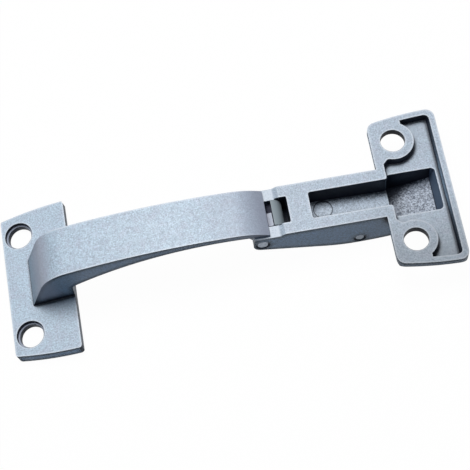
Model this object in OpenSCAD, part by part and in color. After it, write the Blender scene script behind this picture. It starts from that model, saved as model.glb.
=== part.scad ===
// Corner cabinet hinge: a bow leaf and a cored arm leaf, die cast, on one pivot pin.
// The origin is the middle of the bow leaf's two screw holes, on its mounting face.
// +X runs to the pivot, +Z stands off the mounting face, and the pivot axis runs along Y.

/* [Layout] */
// Height of the pivot axis above both mounting faces
pivot_height = 4.2; // [3.8:0.1:4.8]
// Tilt of the opened arm leaf below the bow leaf's mounting face, in degrees
open_tilt = 10.2; // [6:0.1:14]
// Pivot axis to the seam edge of the bow leaf's plate, on its top face
bow_seam = 49.2; // [49:0.05:50]
// Pivot axis to the seam edge of the arm leaf's plate
arm_seam = 48.5; // [47.8:0.05:48.6]
// Pivot axis to the bow leaf's screw holes
bow_hole_reach = 61.9; // [61:0.1:62.4]
// Pivot axis to the arm leaf's screw holes
arm_hole_reach = 36.7; // [36.4:0.1:37.4]

/* [Plates] */
// Length of the bow leaf's plate along the pivot axis, at the seam
bow_plate_l = 42; // [40:0.5:46]
// Length of the arm leaf's plate along the pivot axis, at the seam
arm_plate_l = 42.8; // [41:0.1:46]
// Width of the bow leaf's plate
bow_plate_w = 17.1; // [16.8:0.1:18]
// Width of the arm leaf's plate
arm_plate_w = 17.5; // [17:0.1:18.5]
// Radius of the bowed plate ends
end_r = 88; // [70:1:200]
// Thickness of the bow leaf's plate
bow_plate_t = 2.8; // [2.2:0.1:3.4]
// Thickness of the arm leaf's plate
arm_plate_t = 3.6; // [3.4:0.1:4.2]
// Bevel round the front edge of the arm leaf's plate
arm_bevel = 1.7; // [0.5:0.1:1.8]
// Draft of the bow leaf's plate ends over its thickness
bow_draft = 0.25; // [0:0.05:0.6]
// Draft of the bow leaf's seam edge over the plate's thickness
seam_draft = 0.2; // [0:0.05:0.4]
// Corner radius of the bow leaf's plate
bow_corner_r = 1.1; // [0.3:0.1:2]
// Corner radius of the arm leaf's plate on the arm's side
arm_corner_r = 2.4; // [0.5:0.1:3]
// Corner radius of the arm leaf's plate at the seam
seam_corner_r = 2.3; // [0.3:0.1:2.5]

/* [Screw holes] */
// Distance between the two screw holes of a plate
hole_pitch = 28; // [27:0.5:29]
// Diameter of the screw holes
hole_d = 6.2; // [5:0.1:6.6]
// Diameter of the step on the bow leaf's face
bow_step_d = 7.2; // [6.8:0.1:8.4]
// Depth of the step on the bow leaf's face
bow_step_depth = 1.1; // [0.4:0.1:1.6]
// Diameter of the step on the arm leaf's hidden face
arm_step_d = 8.6; // [7:0.1:9.4]
// Depth of the step on the arm leaf's hidden face
arm_step_depth = 1.6; // [0.4:0.1:1.8]

/* [Bow] */
// Pivot axis to the toe of the bow, where its slanted face meets the plate
toe_reach = 60.2; // [59.4:0.1:60.8]
// Slope of the bow's slanted face, in degrees
toe_angle = 60; // [54:1:66]
// Radius of the shoulder above the slanted face
shoulder_r = 9.2; // [6:0.1:11]
// Pivot axis to the highest point of the bow
crown_reach = 41; // [38:0.5:43]
// Height of the bow's highest point above the pivot axis
crown_height = 11.2; // [10.6:0.1:12.5]
// Radius of the long back of the bow
crown_r = 165; // [150:1:200]
// Distance before the pivot axis where the tip starts to curl down
tip_start = 5; // [4:0.1:7]
// Radius of the curled tip
tip_r = 19; // [18:0.5:22]
// Reach of the tip past the pivot axis
tip_reach = 2.65; // [2.2:0.05:2.8]
// Width of the bow at its toe
toe_w = 13; // [12.4:0.1:13.2]
// Width of the bow at its tip
tip_w = 12.4; // [11.6:0.1:13]
// Pivot axis to the highest point of the bow's underside
under_reach = 23.5; // [22:0.5:26]
// Height of that point above the pivot axis
under_height = 7.45; // [7:0.05:8]
// Radius of the bow's underside
under_r = 78; // [74:1:90]
// Fillet between the underside and the foot
under_fillet_r = 1.2; // [0.5:0.1:2.5]
// Slope of the foot's inner wall, in degrees from the plate's normal
foot_wall_slope = 10; // [0:1:14]

/* [Knuckle] */
// Diameter of the pivot pin
pin_d = 3; // [2.4:0.1:3.2]
// Radial clearance of the pivot pin in the knuckle
pin_clear = 0.05; // [0.02:0.01:0.1]
// Radius of the knuckle round the pin
knuckle_r = 3.2; // [2.6:0.1:3.6]
// Spread of the knuckle's neck where it joins the bow
neck_spread = 1.3; // [0.5:0.1:2]
// Side clearance between the knuckle and each ear
knuckle_gap = 0.1; // [0.05:0.05:0.3]
// Reach of the knuckle's heel past the pivot axis
heel_reach = 6.4; // [5.8:0.1:6.8]
// Radius of the heel
heel_r = 3; // [2.6:0.1:3.2]
// Height of the heel's centre above the pivot axis
heel_lift = 0.2; // [0:0.05:0.4]
// Width of the slot between the bow's lip and the heel
slot_w = 1.55; // [0.8:0.05:1.6]
// Height of the slot's floor above the pivot axis
slot_floor = 1.1; // [0.4:0.1:2]
// Length of the low step left in the slot, from its near end
step_l = 3.6; // [2:0.1:5]
// Height of that step above the pivot axis
step_height = 2.9; // [2.2:0.1:3]
// Width of the groove between that step and the heel
step_groove_w = 0.25; // [0.1:0.05:0.4]
// Depth of that groove
step_groove_depth = 0.6; // [0.2:0.1:1]

/* [Arm] */
// Width of the arm across its two ears
arm_w = 13.4; // [13:0.1:14.4]
// Radius of the ears round the pin
ear_r = 2.3; // [2:0.1:2.6]
// Reach of the ears' upper corner past the pivot axis
ear_back = 1.9; // [1.4:0.1:2]
// Height of the ears' seat for the lip, above the pivot axis
ear_seat = 3.35; // [3:0.05:3.4]
// Pivot axis to the end of that seat
seat_reach = 4.4; // [4:0.1:5]
// Length of the ramp from the seat up to the arm's back
seat_ramp = 1.4; // [0.8:0.1:2]
// Radius kept free for the ears under the bow's lip
lip_clear_r = 4.15; // [4.1:0.01:4.25]
// Width of the window between the ears
window_w = 7.2; // [6.6:0.1:7.8]
// Pivot axis to the end of the window
window_reach = 7.65; // [7.2:0.05:8.4]
// Corner radius of the window
window_corner_r = 0.4; // [0.2:0.1:1]
// Height of the window's floor above the pivot axis
window_floor = -2.6; // [-3:0.1:-2.5]
// Pivot axis to the edge of that floor, past which the window is open to the front
window_floor_reach = 5.2; // [5:0.1:5.6]
// Slope of the arm's front behind the ears, in degrees
belly_angle = 13.2; // [12.8:0.1:14]
// Gap between the arm's front and the bow when folded
fold_gap = 0.5; // [0.3:0.05:0.8]
// Pivot axis to the end of the arm's raised foot on the plate
foot_reach = 46.2; // [46:0.1:46.8]
// Slope of the end of the raised foot, in degrees from the plate's normal
foot_slope = 12; // [0:1:20]

/* [Cores] */
// Width of the trough along the arm's back
trough_w = 7.3; // [6.5:0.1:8.5]
// Corner radius of the trough
trough_corner_r = 0.6; // [0.3:0.1:1.5]
// Pivot axis to the start of the trough
trough_reach = 13.1; // [11:0.1:15]
// Height of the trough's floor above the pivot axis, at its start
trough_floor = -1.2; // [-2:0.1:0]
// Radius of the trough's sides where they open into the deep core
trough_mouth_r = 0.6; // [0.2:0.1:1]
// Fall of the trough's floor towards the plate
trough_fall = 0.9; // [0:0.1:1.4]
// Diameter of the ejector mark on the trough's floor
mark_d = 4.7; // [3:0.1:6]
// Start of the trough to the middle of the ejector mark
mark_offset = 3.4; // [3:0.1:8]
// Shift of the ejector mark towards the trough's far side
mark_shift = 1.1; // [0:0.1:1.2]
// Depth of the ejector mark
mark_depth = 0.15; // [0.05:0.05:0.4]
// Depth of the shallow pocket in the plate's back
pocket_depth = 2.4; // [1.6:0.1:2.5]
// Pivot axis to the start of the shallow pocket
pocket_reach = 33.1; // [32.8:0.1:34]
// Rim between the shallow pocket and the seam edge
seam_rim = 1.5; // [1.3:0.1:2]
// Run of the pocket's slanted wall along that rim
seam_wall_run = 0.5; // [0.4:0.1:1.2]
// Rim between the shallow pocket and the bowed ends
end_rim = 1.5; // [1.2:0.1:1.8]
// Corner radius of the shallow pocket
pocket_corner_r = 1.3; // [0.8:0.1:2]
// Radius of the boss round each screw hole
boss_r = 5.3; // [5:0.1:6]
// Half width of the shallow pocket beside the bosses
pocket_half = 9; // [8.8:0.1:9.4]
// Chamfer where the shallow pocket meets its start
pocket_chamfer = 1.2; // [0.5:0.1:1.2]
// Length of the closed stretch past each hole's middle, between boss and end rim
boss_web = 2.9; // [2:0.1:3.6]
// Width of the deep core in the foot
core_w = 11.8; // [10.8:0.1:12]
// Pivot axis to the end of the deep core, at the pocket's floor
core_reach = 45.6; // [45:0.1:46]
// Run of the slanted wall at that end
core_end_run = 0.9; // [0.4:0.1:1.2]
// Floor of the deep core above the arm's front, at both ends
core_wall = 0.9; // [0.8:0.05:1.6]
// Corner radius of the deep core
core_corner_r = 1.1; // [0.4:0.1:1.6]

/* [Cross pin] */
// Diameter of the cross pin
cross_pin_d = 2.5; // [2:0.1:2.8]
// Pivot axis to the cross pin
cross_pin_reach = 24.4; // [22:0.1:28]
// Metal between the cross pin and the arm's front
cross_pin_wall = 0.75; // [0.6:0.05:1]
// Depth of both pins' ends below the arm's sides
pin_recess = 0.15; // [0:0.05:0.4]
// Chamfer on the ends of both pins
pin_chamfer = 0.25; // [0.1:0.05:0.5]
// Radial clearance of the pins where they are held
held_clear = 0.02; // [0.01:0.01:0.05]
// Chamfer on the ends of the bores that hold the pins
bore_chamfer = 0.3; // [0.1:0.05:0.4]

/* [Hidden] */

// A full turn in degrees
turn = 360;
// Smoothness of round holes and pins, and steps along a drawn arc
$fn = 96;
arc_steps = 40;
corner_steps = 8;
// Overlap of solids that are joined, overrun of cutters, and half the height of cutters that go right through
join = 0.4;
cut = 1;
cut_depth = 20;

// Plates: far edges, and the top face of the bow leaf's plate
bow_edge = bow_seam + bow_plate_w;
arm_edge = arm_seam - arm_plate_w;
plate_top = bow_plate_t - pivot_height;

// Bow: centres of the arcs that make its outline, seen from the near side
toe_dir = [cos(toe_angle), sin(toe_angle)];
toe_in = [sin(toe_angle), -cos(toe_angle)];
crown_centre = [-crown_reach, crown_height - crown_r];
shoulder_base = [-toe_reach, plate_top] + shoulder_r * toe_in;
shoulder_gap = shoulder_base - crown_centre;
shoulder_b = shoulder_gap * toe_dir;
shoulder_c = shoulder_gap * shoulder_gap - pow(crown_r - shoulder_r, 2);
shoulder_run = sqrt(shoulder_b * shoulder_b - shoulder_c) - shoulder_b;
shoulder_centre = shoulder_base + shoulder_run * toe_dir;
shoulder_end = direction(shoulder_centre - crown_centre);
tip_line = acos((crown_reach - tip_start) / crown_r);
tip_centre = crown_centre + (crown_r - tip_r) * [cos(tip_line), sin(tip_line)];
tip_end = acos((tip_reach - tip_centre[0]) / tip_r);
under_centre = [-under_reach, under_height - under_r];
under_end = acos(under_reach / under_r);
wall_dir = [sin(foot_wall_slope), cos(foot_wall_slope)];
wall_out = [cos(foot_wall_slope), -sin(foot_wall_slope)];
fillet_base = [-bow_seam, plate_top] + under_fillet_r * wall_out;
fillet_gap = fillet_base - under_centre;
fillet_b = fillet_gap * wall_dir;
fillet_c = fillet_gap * fillet_gap - pow(under_r - under_fillet_r, 2);
fillet_run = sqrt(fillet_b * fillet_b - fillet_c) - fillet_b;
fillet_centre = fillet_base + fillet_run * wall_dir;
fillet_end = direction(fillet_centre - under_centre);
knuckle_w = window_w - 2 * knuckle_gap;
neck_reach = knuckle_r + neck_spread;
neck_top = under_centre[1] + sqrt(pow(under_r, 2) - pow(under_reach - neck_reach, 2)) + join;

// Arm: its front follows the bow's underside when folded, one gap away
front_centre = [under_reach, under_r - under_height];
front_r = under_r - fold_gap;
front_low = under_height - fold_gap;
belly_rise = under_reach * sin(belly_angle) - front_low * cos(belly_angle) + ear_r;
belly_r = belly_rise / (1 - cos(belly_angle));
belly_centre = [under_reach, belly_r - front_low];
plate_front = pivot_height - arm_plate_t;
pocket_floor = pivot_height - pocket_depth;
pocket_end = arm_seam - seam_rim;
cross_pin_h = front_h(cross_pin_reach) + cross_pin_wall + cross_pin_d / 2;
pin_l = arm_w - 2 * pin_recess;

function direction(v) = atan2(v[1], v[0]);

function arc(centre, r, from, to, steps = arc_steps) =
    [for (i = [0:steps]) centre + r * [cos(from + (to - from) * i / steps), sin(from + (to - from) * i / steps)]];

// Height of the arm's front at a reach past the belly
function front_h(reach) = front_centre[1] - sqrt(pow(front_r, 2) - pow(reach - front_centre[0], 2));

// Distance from the middle of a plate to the centre of a bowed end's arc
function end_centre_y(length) = length / 2 - end_r;

// Centre of a corner arc that touches a plate's side and its bowed end
function corner(x, end_centre, r, radius) = [x, end_centre[1] + sqrt(pow(radius - r, 2) - pow(x - end_centre[0], 2))];

// One bowed end of a plate, from its low x side to its high x side
function plate_end(x0, x1, end_centre, r0, r1, radius) =
    let (c0 = corner(x0 + r0, end_centre, r0, radius))
    let (c1 = corner(x1 - r1, end_centre, r1, radius))
    let (a0 = direction(c0 - end_centre))
    let (a1 = direction(c1 - end_centre))
    concat(arc(c0, r0, 180, a0, corner_steps), arc(end_centre, radius, a0, a1), arc(c1, r1, a1, 0, corner_steps));

function mirrored(points) = [for (i = [len(points) - 1:-1:0]) [points[i][0], -points[i][1]]];

// Outline of a plate, or of a pocket that lies inset from its bowed ends
module plate_outline(length, x0, x1, seam_x, r0, r1, inset = 0) {
    end = plate_end(x0, x1, [seam_x, end_centre_y(length)], r0, r1, end_r - inset);
    polygon(concat(end, mirrored(end)));
}

// Slot along X with rounded corners
module slot_plan(x0, x1, w, r) {
    polygon(concat(
        arc([x1 - r, w / 2 - r], r, 90, 0, corner_steps),
        arc([x1 - r, r - w / 2], r, 0, -90, corner_steps),
        arc([x0 + r, r - w / 2], r, 270, 180, corner_steps),
        arc([x0 + r, w / 2 - r], r, 180, 90, corner_steps)
    ));
}

// Plan of the trough: rounded corners at its start, and rounded lips at its mouth
module trough_plan() {
    mouth_x = pocket_reach - trough_mouth_r;
    mouth_y = trough_w / 2 + trough_mouth_r;
    lip = arc([mouth_x, mouth_y], trough_mouth_r, 270, 360, corner_steps);
    start_centre = [trough_reach + trough_corner_r, trough_w / 2 - trough_corner_r];
    start = arc(start_centre, trough_corner_r, 180, 90, corner_steps);
    side = concat(start, lip, [[pocket_reach + cut, mouth_y]]);
    polygon(concat(side, mirrored(side)));
}

// Space between both bowed ends: narrower by inset at z = low, full from z = high to z = top
module plate_ends(length, seam_x, low, high, top, inset) {
    intersection_for (side = [-1, 1])
        translate([seam_x, side * end_centre_y(length), 0]) {
            translate([0, 0, low]) cylinder(h = high - low, r1 = end_r - inset, r2 = end_r);
            translate([0, 0, high]) cylinder(h = top - high, r = end_r);
        }
}

// A shape drawn in X and Z, as wide as w along Y
module across(w) {
    translate([0, w / 2, 0]) rotate([90, 0, 0]) linear_extrude(w) children();
}

// A cut with its plan as the first child, and its profile in X and Z as the second, as wide as w
module slot_cut(w) {
    intersection() {
        translate([0, 0, -cut_depth]) linear_extrude(2 * cut_depth) children(0);
        across(w) children(1);
    }
}

module holes(reach, z0, z1, d) {
    for (side = [-1, 1])
        translate([reach, side * hole_pitch / 2, z0]) cylinder(h = z1 - z0, d = d);
}

module pin(d) {
    rotate([90, 0, 0]) {
        cylinder(h = pin_l - 2 * pin_chamfer, d = d, center = true);
        for (side = [0, 1])
            mirror([0, 0, side]) translate([0, 0, pin_l / 2 - pin_chamfer])
                cylinder(h = pin_chamfer, d1 = d, d2 = d - 2 * pin_chamfer);
    }
}

// A bore right through the arm along Y that holds a pin, with both ends chamfered
module held_bore(d) {
    across(arm_w + cut) circle(d = d + 2 * held_clear);
    rotate([90, 0, 0]) for (side = [0, 1])
        mirror([0, 0, side]) translate([0, 0, arm_w / 2 - bore_chamfer])
            cylinder(h = 2 * bore_chamfer, d1 = d, d2 = d + 4 * bore_chamfer);
}

// Both leaves are drawn from the pivot axis; these put them in the hinge's own frame
module bow_frame() {
    translate([bow_hole_reach, 0, pivot_height]) children();
}

module arm_frame() {
    bow_frame() rotate([0, open_tilt, 0]) children();
}

module bow_plate() {
    intersection() {
        translate([0, 0, -pivot_height]) linear_extrude(bow_plate_t)
            plate_outline(bow_plate_l, -bow_edge, -bow_seam, -bow_seam, bow_corner_r, bow_corner_r);
        mirror([0, 0, 1])
            plate_ends(bow_plate_l, -bow_seam, -plate_top, pivot_height, pivot_height + cut, bow_draft);
        across(bow_plate_l + cut) polygon([
            [-bow_edge - cut, -pivot_height],
            [-bow_edge - cut, plate_top],
            [-bow_seam, plate_top],
            [-bow_seam - seam_draft, -pivot_height]
        ]);
    }
}

module bow_outline() {
    shoulder = arc(shoulder_centre, shoulder_r, 90 + toe_angle, shoulder_end);
    back = arc(crown_centre, crown_r, shoulder_end, tip_line);
    tip = arc(tip_centre, tip_r, tip_line, tip_end);
    underside = arc(under_centre, under_r, under_end, fillet_end);
    fillet = arc(fillet_centre, under_fillet_r, fillet_end, 180 - foot_wall_slope, corner_steps);
    toe = [-toe_reach, plate_top] - join * toe_dir;
    foot = [-bow_seam, plate_top] - join * wall_dir;
    polygon(concat([toe], shoulder, back, tip, [[tip_reach, 0]], underside, fillet, [foot]));
}

module bow() {
    intersection() {
        across(toe_w) bow_outline();
        translate([0, 0, plate_top - cut]) linear_extrude(crown_height - plate_top + 2 * cut)
            polygon([
                [-toe_reach - cut, -toe_w / 2],
                [tip_reach + cut, -tip_w / 2],
                [tip_reach + cut, tip_w / 2],
                [-toe_reach - cut, toe_w / 2]
            ]);
    }
}

// The slot behind the bow's lip: deep at the far end, with a low step left at the near end
module knuckle_slot() {
    heel_top = heel_lift + heel_r + cut;
    groove_x = tip_reach + slot_w - step_groove_w;
    translate([tip_reach, step_l - knuckle_w / 2, slot_floor]) cube([slot_w, knuckle_w, heel_top]);
    translate([tip_reach, -knuckle_w, step_height]) cube([slot_w, 2 * knuckle_w, heel_top]);
    translate([groove_x, -knuckle_w, step_height - step_groove_depth])
        cube([step_groove_w, 2 * knuckle_w, heel_top]);
}

module knuckle() {
    heel_x = heel_reach - heel_r;
    difference() {
        across(knuckle_w) {
            circle(r = knuckle_r);
            translate([heel_x, heel_lift]) circle(r = heel_r);
            polygon([
                [-knuckle_r, 0],
                [-neck_reach, neck_top],
                [0, lip_clear_r + join],
                [tip_reach, ear_seat],
                [heel_x, heel_lift + heel_r],
                [heel_x, heel_lift - heel_r],
                [0, -knuckle_r]
            ]);
        }
        knuckle_slot();
    }
}

// Room for the ears under the lip, on both sides of the knuckle
module ear_room() {
    difference() {
        across(toe_w + cut) circle(r = lip_clear_r);
        across(knuckle_w) square(2 * lip_clear_r + cut, center = true);
    }
}

module bow_leaf() {
    color("#a9b7c6") bow_frame() difference() {
        union() {
            bow_plate();
            difference() {
                bow();
                ear_room();
            }
            knuckle();
        }
        holes(-bow_hole_reach, -pivot_height - cut, plate_top + cut, hole_d);
        holes(-bow_hole_reach, plate_top - bow_step_depth, plate_top + cut, bow_step_d);
        across(knuckle_w + cut) circle(d = pin_d + 2 * pin_clear);
    }
}

module arm_outline() {
    front_end = turn + direction([foot_reach, front_h(foot_reach)] - front_centre);
    belly = arc(belly_centre, belly_r, 270 - belly_angle, 270);
    front = arc(front_centre, front_r, 270, front_end);
    foot_top = foot_reach + tan(foot_slope) * (plate_front - front_h(foot_reach));
    ear_tangent = ear_r * [-sin(belly_angle), -cos(belly_angle)];
    circle(r = ear_r);
    polygon(concat(
        [[-ear_r, 0], ear_tangent],
        belly,
        front,
        [[foot_top, plate_front], [foot_top, pivot_height], [seat_reach + seat_ramp, pivot_height]],
        [[seat_reach, ear_seat], [-ear_back, ear_seat]]
    ));
}

module arm_plate() {
    bevel_top = plate_front + arm_bevel;
    intersection() {
        translate([0, 0, plate_front]) linear_extrude(arm_plate_t)
            plate_outline(arm_plate_l, arm_edge, arm_seam, arm_seam, arm_corner_r, seam_corner_r);
        plate_ends(arm_plate_l, arm_seam, plate_front, bevel_top, pivot_height + cut, arm_bevel);
        across(arm_plate_l + cut) polygon([
            [arm_edge, pivot_height],
            [arm_edge, bevel_top],
            [arm_edge + arm_bevel, plate_front],
            [arm_seam - arm_bevel, plate_front],
            [arm_seam, bevel_top],
            [arm_seam, pivot_height]
        ]);
    }
}

// The window between the ears: open to the front up to the edge of its floor
module window() {
    slot_cut(window_w) {
        slot_plan(-window_reach, window_reach, window_w, window_corner_r);
        polygon([
            [-window_reach, -cut_depth],
            [window_floor_reach, -cut_depth],
            [window_floor_reach, window_floor],
            [window_reach, window_floor],
            [window_reach, cut_depth],
            [-window_reach, cut_depth]
        ]);
    }
}

// Plan of the shallow pocket, with the bosses round the screw holes left standing
module pocket_plan() {
    difference() {
        plate_outline(
            arm_plate_l, pocket_reach, pocket_end, arm_seam, pocket_corner_r, pocket_corner_r, end_rim
        );
        for (side = [0, 1]) mirror([0, side]) {
            translate([arm_hole_reach, hole_pitch / 2]) circle(r = boss_r);
            translate([arm_hole_reach, hole_pitch / 2]) square([boss_web, arm_plate_l]);
            polygon([
                [pocket_reach - cut, pocket_half - pocket_chamfer],
                [pocket_reach, pocket_half - pocket_chamfer],
                [pocket_reach + pocket_chamfer, pocket_half],
                [arm_hole_reach, pocket_half],
                [arm_hole_reach, arm_plate_l],
                [pocket_reach - cut, arm_plate_l]
            ]);
        }
    }
}

// The shallow pocket, with a slanted wall along the seam rim
module pocket() {
    intersection() {
        translate([0, 0, pocket_floor]) linear_extrude(pocket_depth + cut) pocket_plan();
        across(arm_plate_l) polygon([
            [pocket_reach - cut, pocket_floor - cut],
            [pocket_end - seam_wall_run, pocket_floor - cut],
            [pocket_end - seam_wall_run, pocket_floor],
            [pocket_end, pivot_height],
            [pocket_end, pivot_height + cut],
            [pocket_reach - cut, pivot_height + cut]
        ]);
    }
}

// The trough along the arm, with the round mark that an ejector left on its floor
module trough() {
    slope = trough_fall / (pocket_reach - trough_reach);
    mark_x = trough_reach + mark_offset;
    top = pivot_height + cut;
    slot_cut(arm_w) {
        trough_plan();
        polygon([
            [trough_reach, top],
            [trough_reach, trough_floor],
            [pocket_reach + cut, trough_floor - slope * (pocket_reach + cut - trough_reach)],
            [pocket_reach + cut, top]
        ]);
    }
    translate([mark_x, mark_shift, trough_floor - slope * mark_offset - mark_depth])
        cylinder(h = cut, d = mark_d);
}

// The deep core in the foot, with a slanted wall at its end
module deep_core() {
    floor_reach = core_reach - core_end_run;
    end = turn + direction([floor_reach, front_h(floor_reach)] - front_centre);
    start = turn + direction([pocket_reach, front_h(pocket_reach)] - front_centre);
    floor = arc(front_centre, front_r - core_wall, start, end);
    slot_cut(core_w) {
        slot_plan(pocket_reach, core_reach, core_w, core_corner_r);
        polygon(concat(
            [[pocket_reach, pivot_height]],
            floor,
            [[core_reach, pocket_floor], [core_reach, pivot_height]]
        ));
    }
}

module arm_leaf() {
    color("#aab8c8") arm_frame() difference() {
        union() {
            across(arm_w) arm_outline();
            arm_plate();
        }
        window();
        trough();
        pocket();
        deep_core();
        holes(arm_hole_reach, plate_front - cut, pivot_height + cut, hole_d);
        holes(arm_hole_reach, plate_front - cut, plate_front + arm_step_depth, arm_step_d);
        held_bore(pin_d);
        translate([cross_pin_reach, 0, cross_pin_h]) held_bore(cross_pin_d);
    }
}

module pivot_pin() {
    color("#8d959e") arm_frame() pin(pin_d);
}

module cross_pin() {
    color("#8d959e") arm_frame() translate([cross_pin_reach, 0, cross_pin_h]) pin(cross_pin_d);
}

bow_leaf();
arm_leaf();
pivot_pin();
cross_pin();
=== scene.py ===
"""Looks of the corner cabinet hinge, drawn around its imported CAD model."""
import math

import bpy
from mathutils import Matrix, Vector


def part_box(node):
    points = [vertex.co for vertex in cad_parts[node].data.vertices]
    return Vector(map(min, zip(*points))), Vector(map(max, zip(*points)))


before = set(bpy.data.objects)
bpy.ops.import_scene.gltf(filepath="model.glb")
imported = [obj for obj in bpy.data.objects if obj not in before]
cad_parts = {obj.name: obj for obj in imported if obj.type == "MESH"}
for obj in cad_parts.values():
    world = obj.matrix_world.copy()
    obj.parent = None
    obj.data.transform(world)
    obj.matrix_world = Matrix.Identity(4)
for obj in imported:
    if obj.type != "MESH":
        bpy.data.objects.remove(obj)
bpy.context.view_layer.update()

MM = 0.001

# The pivot of the two leaves, and the tilt of the arm leaf at rest
PIVOT = Vector((61.9 * MM, 0.0, 4.2 * MM))
ARM_TILT = math.radians(10.2)

# Directions square to each leaf's faces, and the planes that circles are drawn in
BOW_AXIS = (0.0, 0.0, 1.0)
ARM_AXIS = (math.sin(ARM_TILT), 0.0, math.cos(ARM_TILT))
FLAT_PLANE = (1.0, 1.0, 0.0)
UPRIGHT_PLANE = (1.0, 0.0, 1.0)

# Reach of the shade in a recess and in a crease
RECESS_SPAN = 9.0 * MM
CREASE_SPAN = 1.2 * MM

# Radii that find a face's edge for its painted highlight and a wall's edge for its painted dark line, and
# one that softens every edge
EDGE_HIGHLIGHT = 0.9 * MM
EDGE_LINE = 3.0 * MM
EDGE_SOFT = 0.14 * MM

# Depth of the grain, and its strength on the castings and on the pins
GRAIN_DEPTH = 0.05 * MM
COAT_GRAIN = 0.4
PIN_GRAIN = 0.3

# Noise patterns: scale per millimetre, detail, roughness and distortion
SPECKLE = (2.9, 2.0, 0.6, 0.0)
GRAIN = (1.5, 3.0, 0.7, 0.0)
TINT = (0.45, 2.5, 0.6, 0.0)
CLOUD = (0.13, 2.0, 0.5, 0.0)
SCUFFS = (2.0, 3.0, 0.7, 0.0)
WORMS = (1.9, 2.0, 0.6, 1.2)
FRINGE = (2.4, 2.0, 0.6, 0.0)
STREAKS = (3.0, 3.0, 0.6, 0.0)

# How far the fringe noise shifts the edge of a floor's shade, in millimetres
FRINGE_WIDTH = 3.2

# Ramps over noise: where each starts and ends, and what it gives there if that isn't 0 and 1
GRAIN_DARKENS = (0.42, 0.72, 0.0, 0.7)
TINT_SHOWS = (0.45, 0.7, 0.0, 0.4)
SPECKLE_TONE = (0.3, 0.7, 0.7, 1.3)
CLOUD_TONE = (0.3, 0.7, 0.96, 1.04)
FOOT_SPECKLE = (0.42, 0.6)
SEAT_SCUFFS = (0.3, 0.5)
CORE_WORMS = (0.42, 0.6)
TROUGH_WORMS = (0.4, 0.62)
PIN_STREAKS = (0.35, 0.65)
COAT_ROUGHNESS = (0.3, 0.7, 0.38, 0.52)
PIN_ROUGHNESS = (0.3, 0.7, 0.3, 0.45)

# Ramps over a face's tilt, an edge's bend, a place's openness, a mask and a brightness; the slope, crease,
# recess and foot ramps place painted shade
WALL_TILT = (0.25, 0.6, 1.0, 0.0)
FACE_TILT = (0.8, 0.95)
SLOPE_TILT = (0.45, 0.97)
EDGE_BEND = (0.9, 0.997, 1.0, 0.0)
CREASE_OPEN = (0.74, 0.9, 1.0, 0.0)
RECESS_OPEN = (0.55, 0.82, 1.0, 0.0)
FOOT_OPEN = (0.35, 0.75, 1.0, 0.0)
OFF_WALL = (0.0, 0.6, 1.0, 0.0)
COAT_SPECULAR = (0.03, 0.25, 0.08, 0.5)

# Ramps over a distance in millimetres: painted light and shade on the bow's side and rim and on the floors,
# painted shadows on the floors, the slant of the core's painted shadow, and the pins' tone
BOW_SIDE_LIGHT_AND_SHADE = (-56.0, -40.0, 0.62, 1.2)
BOW_RIM_LIGHT_AND_SHADE = (-1.95, -1.55, 2.4, 0.8)
CORE_LEFT_SHADE = (34.0, 39.0, 0.6, 1.0)
TROUGH_FLOOR_LIGHT_AND_SHADE = (0.2, 2.2, 0.6, 1.15)
TROUGH_SHADE = (3.5, 4.9)
CORE_SHADE = (0.9, 4.0)
CORE_SLANT = (33.0, 45.0, 0.0, -8.0)
PIN_TONE = (10.0, 14.0, 1.0, 0.7)

# Painted shade on the slopes of each casting, on the walls' dark edges and on the arm plate's near end
BOW_SLOPE_SHADE = 0.66
ARM_SLOPE_SHADE = 0.8
WALL_LINE_SHADE = 0.12
NEAR_END_SHADE = 0.6

# Fade at the edge of a sharp mask, in millimetres
SHARP = 0.1

# Regions of the bow leaf, in millimetres from the pivot: low corner, high corner and fade
BOW_RIM = ((-70.0, -22.0, -4.4), (-48.0, 22.0, -1.35), SHARP)
BOW_SEAM_WALL = ((-50.0, -22.0, -4.4), (-48.9, 22.0, -1.5), SHARP)
SHOULDER = ((-56.5, -7.0, 2.0), (-53.5, 7.0, 13.0), 2.5)
NEAR_LIP = ((-4.0, -7.0, 3.5), (3.0, 7.0, 12.0), 9.0)
LIP = ((1.5, -7.0, 3.5), (3.0, 7.0, 12.0), 5.0)
HEEL = ((4.2, -3.7, -4.0), (7.0, 3.7, 4.0), SHARP)
SLOT = ((2.6, -3.7, 0.0), (4.25, 3.7, 2.75), SHARP)

# Regions of the arm leaf, in millimetres from the pivot: low corner, high corner and fade
EAR_SEATS = ((-2.2, -7.0, 3.1), (4.6, 7.0, 3.6), 0.2)
NEAR_END = ((30.0, -24.0, -1.0), (50.0, -17.0, 4.6), 17.0)
CORE = ((33.2, -6.1, -8.0), (44.9, 6.1, -1.2), 0.2)
TROUGH = ((13.0, -3.7, -2.5), (33.0, 3.7, -0.5), 0.2)
POCKET_INNER = ((33.0, -19.2, 1.75), (39.2, 19.2, 4.15), SHARP)
POCKET_OUTER = ((39.2, -20.2, 1.75), (46.0, 20.2, 4.15), SHARP)
CORE_SIDES = ((33.0, -6.3, -8.0), (44.6, 6.3, 1.9), SHARP)
TROUGH_SIDES = ((13.0, -3.75, -2.5), (33.2, 3.75, 4.1), SHARP)
ARM_SEAM_WALL = ((47.0, -19.4, 1.85), (47.9, 19.4, 4.15), SHARP)
CORE_END_WALL = ((44.6, -6.1, -8.0), (46.0, 6.1, 1.7), SHARP)
WINDOW = ((4.7, -3.75, -8.0), (7.8, 3.75, 3.9), SHARP)

# The screw holes: each leaf's reach to them, half their pitch, and the circles in them where shade is
# painted
BOW_HOLE_X = -61.9
ARM_HOLE_X = 36.7
HALF_PITCH = 14.0
BOW_HOLE_RADIUS = 3.62
ARM_HOLE_RADIUS = 3.12
LEDGE_RADIUS = 3.35
LEDGE_HALF_WIDTH = 0.16

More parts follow.
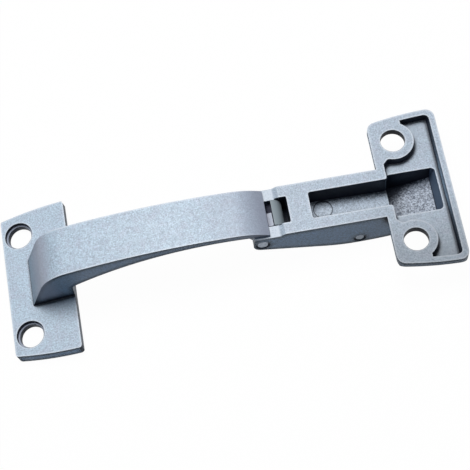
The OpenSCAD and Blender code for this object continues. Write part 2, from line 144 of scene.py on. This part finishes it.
# Centre and radius of the chamfer round each pin, on the arm's side, where shade is painted
PIN_BORES = (((0.0, 0.0, 0.0), 1.8), ((24.4, 0.0, -4.95), 1.55))

# The line of the ejector's mark on the trough's floor
MARK_CENTRE = (16.5, 1.1, 0.0)
MARK_RADIUS = 2.35
MARK_HALF_WIDTH = 0.1

# Colours, as linear red, green and blue
WHITE = (1.0, 1.0, 1.0)
BOW_COAT = (0.445, 0.56, 0.66)
ARM_COAT = (0.41, 0.495, 0.58)
COAT_DARK = (0.29, 0.35, 0.44)
COAT_LILAC = (0.40, 0.42, 0.52)
# Painted reflection: the bluer colour the walls take
WALL_REFLECTION_BLUE = (0.44, 0.64, 0.87)
LIP_SHADE = (0.22, 0.24, 0.31)
WORN_ZINC = (0.55, 0.62, 0.70)
# Painted highlight along the edges of the faces
EDGE_HIGHLIGHT_COLOUR = (0.74, 0.80, 0.87)
HEEL_ZINC = (0.25, 0.30, 0.33)
# Painted shade in recesses, creases, holes, pin chamfers and the window, and the dark line of the ejector's
# mark
SHADE_AND_MARK_DARK = (0.012, 0.016, 0.028)
# Painted shade in the bow's slot
SLOT_SHADE = (0.014, 0.016, 0.032)
# Painted shade on the ledge in each screw hole
LEDGE_SHADE = (0.29, 0.33, 0.42)
TROUGH_DARK = (0.27, 0.33, 0.41)
TROUGH_LIGHT = (0.55, 0.65, 0.76)
CORE_DARK = (0.05, 0.065, 0.10)
CORE_LIGHT = (0.38, 0.45, 0.56)
# Painted shade on the core's end wall
CORE_END_SHADE = (0.08, 0.12, 0.19)
# Painted shade on the arm's seam wall
SEAM_WALL_SHADE = (0.25, 0.31, 0.38)
PIN_STEEL = (0.30, 0.34, 0.40)
PIN_DULL = (0.16, 0.19, 0.23)
FLOOR_PALE = (0.93, 0.93, 0.93)
FLOOR_BOUNCE = (0.12, 0.15, 0.19)
SKY_LIGHT = (0.06, 0.075, 0.10)

# Tints, a bare heel and painted shade laid over the bow leaf, and painted shade over the arm leaf's walls:
# region, colour and strength
# The shoulder and near lip take a lilac painted shade, the lip painted shade, the heel its bare colour and
# the slot painted shade
BOW_TINTS_AND_SHADES = (
    (SHOULDER, COAT_LILAC, 0.55),
    (NEAR_LIP, COAT_LILAC, 0.35),
    (LIP, LIP_SHADE, 0.7),
    (HEEL, HEEL_ZINC, 1.0),
    (SLOT, SLOT_SHADE, 1.0),
)
# Painted shade on the walls of the pockets, the core and the trough, on the seam wall and on the core's end
# wall
ARM_WALL_SHADES = (
    (POCKET_INNER, SHADE_AND_MARK_DARK, 0.85),
    (POCKET_OUTER, SHADE_AND_MARK_DARK, 0.85),
    (CORE_SIDES, SHADE_AND_MARK_DARK, 0.85),
    (TROUGH_SIDES, SHADE_AND_MARK_DARK, 0.85),
    (ARM_SEAM_WALL, SEAM_WALL_SHADE, 0.7),
    (CORE_END_WALL, CORE_END_SHADE, 0.9),
)

# The floor: its side, its gap under the hinge, and how far it glows by itself
FLOOR_SIDE = 6.0
FLOOR_GAP = 0.02 * MM
FLOOR_GLOW = 0.98

# The lamp overhead: its place, its aim, its side, its power and its colour
LAMP_PLACE = (0.08, 0.16, 0.55)
LAMP_AIM = (0.05, 0.0, 0.0)
LAMP_SIDE = 0.3
LAMP_POWER = 3.25
LAMP_COLOUR = (1.0, 0.99, 0.98)

# The camera: its place, its sideways and upward directions, its sensor and lens, and its clipping
CAMERA_PLACE = (0.1070, -0.1883, 0.3691)
CAMERA_RIGHT = (0.9613, -0.1656, -0.2202)
CAMERA_UP = (0.2457, 0.8769, 0.4132)
SENSOR_WIDTH = 36.0
LENS = 127.48
CLIP_START = 0.01
CLIP_END = 20.0


class Graph:
    """A material's or a world's nodes, with short ways to add and join them."""

    def __init__(self, tree):
        self.tree = tree
        tree.nodes.clear()

    def add(self, kind, inputs=None, **settings):
        """A new node with its settings, and with a link or a value in each named input."""
        node = self.tree.nodes.new(kind)
        for name, value in settings.items():
            setattr(node, name, value)
        for name, value in (inputs or {}).items():
            self.put(node.inputs[name], value)
        return node

    def put(self, socket, value):
        """Links another node's socket to an input, or sets the input's own value."""
        if isinstance(value, bpy.types.NodeSocket):
            self.tree.links.new(value, socket)
        elif socket.type == "RGBA":
            socket.default_value = (*value, 1.0)
        else:
            socket.default_value = value

    def math(self, operation, a, b=0.0):
        return self.add("ShaderNodeMath", {0: a, 1: b}, operation=operation).outputs[0]

    def every(self, *masks):
        """The product of masks, which is 1 only where all of them are."""
        product = masks[0]
        for mask in masks[1:]:
            product = self.math("MULTIPLY", product, mask)
        return product

    def ramp(self, value, low, high, to_low=0.0, to_high=1.0):
        """Straight ramp from to_low at low to to_high at high, clamped."""
        inputs = {"Value": value, "From Min": low, "From Max": high, "To Min": to_low, "To Max": to_high}
        return self.add("ShaderNodeMapRange", inputs).outputs["Result"]

    def noise(self, vector, scale, detail, roughness, distortion):
        inputs = {
            "Vector": vector,
            "Scale": scale,
            "Detail": detail,
            "Roughness": roughness,
            "Distortion": distortion,
        }
        return self.add("ShaderNodeTexNoise", inputs, noise_dimensions="3D").outputs["Fac"]

    def mix(self, mask, a, b, strength=1.0):
        """Colour a where the mask is 0, and b at its strength where the mask is 1."""
        node = self.add("ShaderNodeMix", data_type="RGBA")
        self.put(node.inputs[0], mask if strength == 1.0 else self.every(mask, strength))
        self.put(node.inputs[6], a)
        self.put(node.inputs[7], b)
        return node.outputs[2]

    def scale(self, colour, factor):
        node = self.add("ShaderNodeVectorMath", {0: colour, "Scale": factor}, operation="SCALE")
        return node.outputs[0]

    def tone(self, mask, colour, factor):
        """The colour as it is where the mask is 0, and times a factor where the mask is 1."""
        return self.scale(colour, self.ramp(mask, 0.0, 1.0, 1.0, factor))

    def dot(self, a, b):
        return self.add("ShaderNodeVectorMath", {0: a, 1: b}, operation="DOT_PRODUCT").outputs["Value"]

    def axes(self, vector):
        """The vector's x, y and z."""
        return tuple(self.add("ShaderNodeSeparateXYZ", {0: vector}).outputs)

    def edge(self, normal, width):
        """1 at the edges of the mesh, 0 beyond a width from them."""
        rounded = self.add("ShaderNodeBevel", {"Radius": width, "Normal": normal}, samples=6).outputs[0]
        return self.ramp(self.dot(rounded, normal), *EDGE_BEND)

    def openness(self, normal, span):
        """1 where nothing of the piece stands within a span of a place, and less in its recesses."""
        inputs = {"Distance": span, "Normal": normal}
        return self.add("ShaderNodeAmbientOcclusion", inputs, samples=12, only_local=True).outputs["AO"]

    def grained(self, height, strength, samples):
        """The normal of a surface with softened edges and a fine grain."""
        soft = self.add("ShaderNodeBevel", {"Radius": EDGE_SOFT}, samples=samples).outputs[0]
        inputs = {"Strength": strength, "Distance": GRAIN_DEPTH, "Height": height, "Normal": soft}
        return self.add("ShaderNodeBump", inputs).outputs[0]

    def ring(self, vector, centre, plane, radius, half_width):
        """1 on a ring in a plane through the vector's own axes, 0 off it."""
        offset = self.add("ShaderNodeVectorMath", {0: vector, 1: centre}, operation="SUBTRACT").outputs[0]
        flat = self.add("ShaderNodeVectorMath", {0: offset, 1: plane}, operation="MULTIPLY").outputs[0]
        distance = self.add("ShaderNodeVectorMath", {0: flat}, operation="LENGTH").outputs["Value"]
        away = self.math("ABSOLUTE", self.math("SUBTRACT", distance, radius))
        return self.ramp(away, half_width, half_width + SHARP, 1.0, 0.0)

    def disc(self, vector, centre, plane, radius):
        """1 on a disc in a plane through the vector's own axes, 0 off it."""
        return self.ring(vector, centre, plane, 0.0, radius)

    def box(self, vector, low, high, fade):
        """1 inside a box along the vector's own axes, fading to 0 outside it."""
        masks = []
        for value, start, end in zip(self.axes(vector), low, high):
            rise = self.ramp(value, start - fade, start)
            fall = self.ramp(value, end, end + fade, 1.0, 0.0)
            masks.append(self.every(rise, fall))
        return self.every(*masks)


def from_pivot(graph, tilt=0.0):
    """Object coordinates in millimetres from the pivot, turned about Y by a tilt."""
    inputs = {
        "Vector": graph.add("ShaderNodeTexCoord").outputs["Object"],
        "Location": tuple(PIVOT),
        "Rotation": (0.0, tilt, 0.0),
        "Scale": (MM, MM, MM),
    }
    return graph.add("ShaderNodeMapping", inputs, vector_type="TEXTURE").outputs[0]


def hole_centres(reach):
    """Centres of a leaf's two screw holes, at its reach from the pivot."""
    return [(reach, side * HALF_PITCH, 0.0) for side in (-1, 1)]


def new_material(name):
    material = bpy.data.materials.new(name)
    material.use_nodes = True
    return material, Graph(material.node_tree)


def coat(graph, place, axis, colour, slope_shade):
    """The satin coat on a casting: its colour, roughness and height, and a mask of the walls.

    The coat gets painted shade: toned down on slopes, a dark line along the walls' top edges, nearly black
    in creases and on the walls of a recess, and speckled at the feet of walls; the walls get a bluer
    painted reflection and the faces' edges a painted highlight."""
    speckle = graph.noise(place, *SPECKLE)
    grain = graph.noise(place, *GRAIN)
    cloud = graph.noise(place, *CLOUD)
    tint = graph.noise(place, *TINT)
    facing = graph.add("ShaderNodeTexCoord").outputs["Normal"]
    along = graph.math("ABSOLUTE", graph.dot(facing, axis))
    wall = graph.ramp(along, *WALL_TILT)
    colour = graph.mix(graph.ramp(grain, *GRAIN_DARKENS), colour, COAT_DARK)
    colour = graph.mix(graph.ramp(tint, *TINT_SHOWS), colour, COAT_LILAC)
    # Painted reflection: the walls are tinted bluer
    colour = graph.mix(wall, colour, WALL_REFLECTION_BLUE)
    colour = graph.scale(colour, graph.ramp(speckle, *SPECKLE_TONE))
    colour = graph.scale(colour, graph.ramp(cloud, *CLOUD_TONE))
    # Painted shade: faces darker the more they slope away from the leaf's face
    colour = graph.scale(colour, graph.ramp(along, *SLOPE_TILT, slope_shade, 1.0))

    normal = graph.add("ShaderNodeNewGeometry").outputs["True Normal"]
    # Painted shade: a dark line along the top edges of the walls
    line = graph.every(wall, graph.edge(normal, EDGE_LINE))
    colour = graph.tone(line, colour, WALL_LINE_SHADE)
    # Painted highlight along the edges of the faces
    edge_highlight = graph.every(graph.ramp(along, *FACE_TILT), graph.edge(normal, EDGE_HIGHLIGHT))
    colour = graph.mix(edge_highlight, colour, EDGE_HIGHLIGHT_COLOUR, strength=0.7)
    # Painted shade in creases
    crease = graph.ramp(graph.openness(normal, CREASE_SPAN), *CREASE_OPEN)
    colour = graph.mix(crease, colour, SHADE_AND_MARK_DARK, strength=0.85)
    # Painted shade on the walls of a recess
    open_sky = graph.openness(normal, RECESS_SPAN)
    recess = graph.every(wall, graph.ramp(open_sky, *RECESS_OPEN))
    colour = graph.mix(recess, colour, SHADE_AND_MARK_DARK)
    # Painted shade, speckled, where the piece is closed in, as at the feet of walls
    foot = graph.every(graph.ramp(open_sky, *FOOT_OPEN), graph.ramp(speckle, *FOOT_SPECKLE))
    colour = graph.mix(foot, colour, SHADE_AND_MARK_DARK, strength=0.7)
    return colour, graph.ramp(grain, *COAT_ROUGHNESS), grain, wall


def cover(graph, surface):
    """Makes a shader with these inputs the material's surface."""
    shader = graph.add("ShaderNodeBsdfPrincipled", surface)
    graph.add("ShaderNodeOutputMaterial", {"Surface": shader.outputs[0]})


def finish_casting(graph, colour, roughness, height):
    """The casting's surface, glossier where its colour is brighter."""
    brightness = graph.add("ShaderNodeRGBToBW", {0: colour}).outputs[0]
    cover(graph, {
        "Base Color": colour,
        "Metallic": 0.0,
        "Roughness": roughness,
        "Specular IOR Level": graph.ramp(brightness, *COAT_SPECULAR),
        "Normal": graph.grained(height, COAT_GRAIN, samples=6),
    })


def bow_material():
    """The bow leaf's coat, with a bare heel, painted shade on its slopes, walls and slot and in each screw
    hole with its ledge, and painted light and shade on its side and rim.
    """
    material, graph = new_material("bow_coat")
    place = from_pivot(graph)
    colour, roughness, height, wall = coat(graph, place, BOW_AXIS, BOW_COAT, BOW_SLOPE_SHADE)
    x, _, z = graph.axes(place)
    # Painted light and shade on the bow's walls: darker towards the plate's end, brighter towards the pivot
    colour = graph.tone(wall, colour, graph.ramp(x, *BOW_SIDE_LIGHT_AND_SHADE))
    # Painted light and shade on the bow plate's rim: brighter low down, darker at its top edge
    rim = graph.every(graph.box(place, *BOW_RIM), wall)
    colour = graph.tone(rim, colour, graph.ramp(z, *BOW_RIM_LIGHT_AND_SHADE))
    # Painted shade on the bow's seam wall
    seam_wall = graph.every(graph.box(place, *BOW_SEAM_WALL), wall)
    colour = graph.mix(seam_wall, colour, SHADE_AND_MARK_DARK, strength=0.85)
    # Painted shade on the shoulder, near the lip, on the lip and in the slot, and the heel's bare colour
    for region, tone, strength in BOW_TINTS_AND_SHADES:
        colour = graph.mix(graph.box(place, *region), colour, tone, strength)

    off_wall = graph.ramp(wall, *OFF_WALL)
    # Painted shade inside each screw hole and on the ledge in it
    for centre in hole_centres(BOW_HOLE_X):
        hole = graph.disc(place, centre, FLAT_PLANE, BOW_HOLE_RADIUS)
        colour = graph.mix(hole, colour, SHADE_AND_MARK_DARK, strength=0.75)
        ledge = graph.every(graph.ring(place, centre, FLAT_PLANE, LEDGE_RADIUS, LEDGE_HALF_WIDTH), off_wall)
        colour = graph.mix(ledge, colour, LEDGE_SHADE, strength=0.9)
    finish_casting(graph, colour, roughness, height)
    return material


def rough_floors(graph, place, colour, wall):
    """The coat with rough, specked floors in the trough and the deep core, with painted light and shade
    across them and painted shadows at their far sides.
    """
    x, y, _ = graph.axes(place)
    off_wall = graph.ramp(wall, *OFF_WALL)
    trough = graph.box(place, *TROUGH)
    core_floor = graph.every(graph.box(place, *CORE), off_wall)
    worms = graph.noise(place, *WORMS)
    core_specks = graph.mix(graph.ramp(worms, *CORE_WORMS), CORE_DARK, CORE_LIGHT)
    # Painted shade: the core's floor darker towards its left end
    core_specks = graph.scale(core_specks, graph.ramp(x, *CORE_LEFT_SHADE))
    colour = graph.mix(core_floor, colour, core_specks, strength=0.85)

    across = graph.math("ADD", y, graph.every(graph.noise(place, *FRINGE), FRINGE_WIDTH))
    specks = graph.mix(graph.ramp(worms, *TROUGH_WORMS), TROUGH_DARK, TROUGH_LIGHT)
    # Painted shade towards the trough's near side, and painted light across the rest of its floor
    specks = graph.scale(specks, graph.ramp(across, *TROUGH_FLOOR_LIGHT_AND_SHADE))
    colour = graph.mix(graph.every(trough, off_wall), colour, specks, strength=0.8)
    # Painted shadow of the trough's far wall on its floor
    trough_shade = graph.every(trough, graph.ramp(across, *TROUGH_SHADE))
    colour = graph.mix(trough_shade, colour, SHADE_AND_MARK_DARK, strength=0.8)
    # Painted shadow of the core's walls on its floor, slanting across it
    slant = graph.math("ADD", across, graph.ramp(x, *CORE_SLANT))
    core_shade = graph.every(core_floor, graph.ramp(slant, *CORE_SHADE))
    colour = graph.mix(core_shade, colour, SHADE_AND_MARK_DARK, strength=0.9)
    mark = graph.ring(place, MARK_CENTRE, FLAT_PLANE, MARK_RADIUS, MARK_HALF_WIDTH)
    return graph.mix(graph.every(mark, trough), colour, SHADE_AND_MARK_DARK, strength=0.75)


def arm_material():
    """The arm leaf's coat, with worn seats on the ears, rough floors, and painted shade on the plate's near
    end, in its cavities and window, round the pins and in the screw holes.
    """
    material, graph = new_material("arm_coat")
    place = from_pivot(graph, ARM_TILT)
    colour, roughness, height, wall = coat(graph, place, ARM_AXIS, ARM_COAT, ARM_SLOPE_SHADE)
    scuffs = graph.ramp(graph.noise(place, *SCUFFS), *SEAT_SCUFFS)
    seats = graph.every(graph.box(place, *EAR_SEATS), scuffs)
    colour = graph.mix(seats, colour, WORN_ZINC)
    # Painted shade on the arm plate's near end
    colour = graph.tone(graph.box(place, *NEAR_END), colour, NEAR_END_SHADE)
    colour = rough_floors(graph, place, colour, wall)

    # Painted shade on the arm leaf's walls
    for region, tone, strength in ARM_WALL_SHADES:
        colour = graph.mix(graph.every(graph.box(place, *region), wall), colour, tone, strength)
    # Painted shade in the window
    colour = graph.mix(graph.box(place, *WINDOW), colour, SHADE_AND_MARK_DARK, strength=0.98)
    # Painted shade in the chamfer round each pin
    for centre, radius in PIN_BORES:
        bore = graph.disc(place, centre, UPRIGHT_PLANE, radius)
        colour = graph.mix(bore, colour, SHADE_AND_MARK_DARK, strength=0.9)
    # Painted shade inside each screw hole
    for centre in hole_centres(ARM_HOLE_X):
        hole = graph.disc(place, centre, FLAT_PLANE, ARM_HOLE_RADIUS)
        colour = graph.mix(hole, colour, SHADE_AND_MARK_DARK, strength=0.6)
    finish_casting(graph, colour, roughness, height)
    return material


def pin_material():
    """Dull drawn steel, darker on the cross pin than on the pivot pin."""
    material, graph = new_material("pin_steel")
    place = from_pivot(graph)
    streaks = graph.noise(place, *STREAKS)
    steel = graph.mix(graph.ramp(streaks, *PIN_STREAKS), PIN_DULL, PIN_STEEL)
    cover(graph, {
        "Base Color": graph.scale(steel, graph.ramp(graph.axes(place)[0], *PIN_TONE)),
        "Metallic": 1.0,
        "Roughness": graph.ramp(streaks, *PIN_ROUGHNESS),
        "Normal": graph.grained(streaks, PIN_GRAIN, samples=4),
    })
    return material


def seen(graph):
    """1 for the rays that show the background, and 0 for the rays that light the part."""
    path = graph.add("ShaderNodeLightPath")
    mirror = graph.math("MAXIMUM", path.outputs["Is Glossy Ray"], path.outputs["Is Transmission Ray"])
    return graph.math("MAXIMUM", path.outputs["Is Camera Ray"], mirror)


def floor_material():
    """A pale floor that keeps a soft shadow."""
    material, graph = new_material("floor")
    shown = seen(graph)
    diffuse = graph.add("ShaderNodeBsdfDiffuse", {"Color": graph.mix(shown, FLOOR_BOUNCE, FLOOR_PALE)})
    glow = graph.add("ShaderNodeEmission", {"Color": WHITE, "Strength": 1.0})
    shaders = {0: graph.every(shown, FLOOR_GLOW), 1: diffuse.outputs[0], 2: glow.outputs[0]}
    blend = graph.add("ShaderNodeMixShader", shaders)
    graph.add("ShaderNodeOutputMaterial", {"Surface": blend.outputs[0]})
    return material


def dress(node, material):
    """Gives a CAD node's object its better material."""
    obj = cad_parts[node]
    for slot in obj.material_slots:
        slot.material = material


def floor_line():
    """Start and slope of a table top that carries both the bow leaf's far edge and the arm leaf."""
    edge_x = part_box("bow_leaf")[0][0]
    slopes = [v.co.z / (v.co.x - edge_x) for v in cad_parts["arm_leaf"].data.vertices]
    return edge_x, min(slopes)


def add_floor():
    edge_x, slope = floor_line()
    bpy.ops.mesh.primitive_plane_add(size=FLOOR_SIDE)
    floor = bpy.context.object
    floor.name = "floor"
    floor.rotation_euler = (0.0, -math.atan(slope), 0.0)
    floor.location = (edge_x, 0.0, -FLOOR_GAP)
    floor.data.materials.append(floor_material())


def add_world():
    """A dim, even sky that the camera sees as white."""
    world = bpy.data.worlds.new("studio")
    world.use_nodes = True
    bpy.context.scene.world = world
    graph = Graph(world.node_tree)
    colour = graph.mix(seen(graph), SKY_LIGHT, WHITE)
    sky = graph.add("ShaderNodeBackground", {"Color": colour, "Strength": 1.0})
    graph.add("ShaderNodeOutputWorld", {"Surface": sky.outputs[0]})


def add_lamp():
    """A square lamp overhead."""
    data = bpy.data.lights.new("key", "AREA")
    data.shape = "SQUARE"
    data.size = LAMP_SIDE
    data.energy = LAMP_POWER
    data.color = LAMP_COLOUR
    lamp = bpy.data.objects.new("key", data)
    bpy.context.scene.collection.objects.link(lamp)
    lamp.location = LAMP_PLACE
    aim = Vector(LAMP_AIM) - Vector(LAMP_PLACE)
    lamp.rotation_euler = aim.to_track_quat("-Z", "Y").to_euler()


def add_camera():
    """The photograph's viewpoint: a long lens from above, near the arm leaf's side."""
    right = Vector(CAMERA_RIGHT).normalized()
    up = Vector(CAMERA_UP)
    up = (up - up.dot(right) * right).normalized()
    back = right.cross(up)
    data = bpy.data.cameras.new("camera")
    data.sensor_width = SENSOR_WIDTH
    data.lens = LENS
    data.clip_start = CLIP_START
    data.clip_end = CLIP_END
    camera = bpy.data.objects.new("camera", data)
    bpy.context.scene.collection.objects.link(camera)
    turn = Matrix((right, up, back)).transposed().to_4x4()
    camera.matrix_world = Matrix.Translation(CAMERA_PLACE) @ turn
    bpy.context.scene.camera = camera


add_camera()
dress("bow_leaf", bow_material())
dress("arm_leaf", arm_material())
steel_material = pin_material()
dress("pivot_pin", steel_material)
dress("cross_pin", steel_material)
add_floor()
add_world()
add_lamp()
bpy.context.scene.view_settings.view_transform = "Standard"
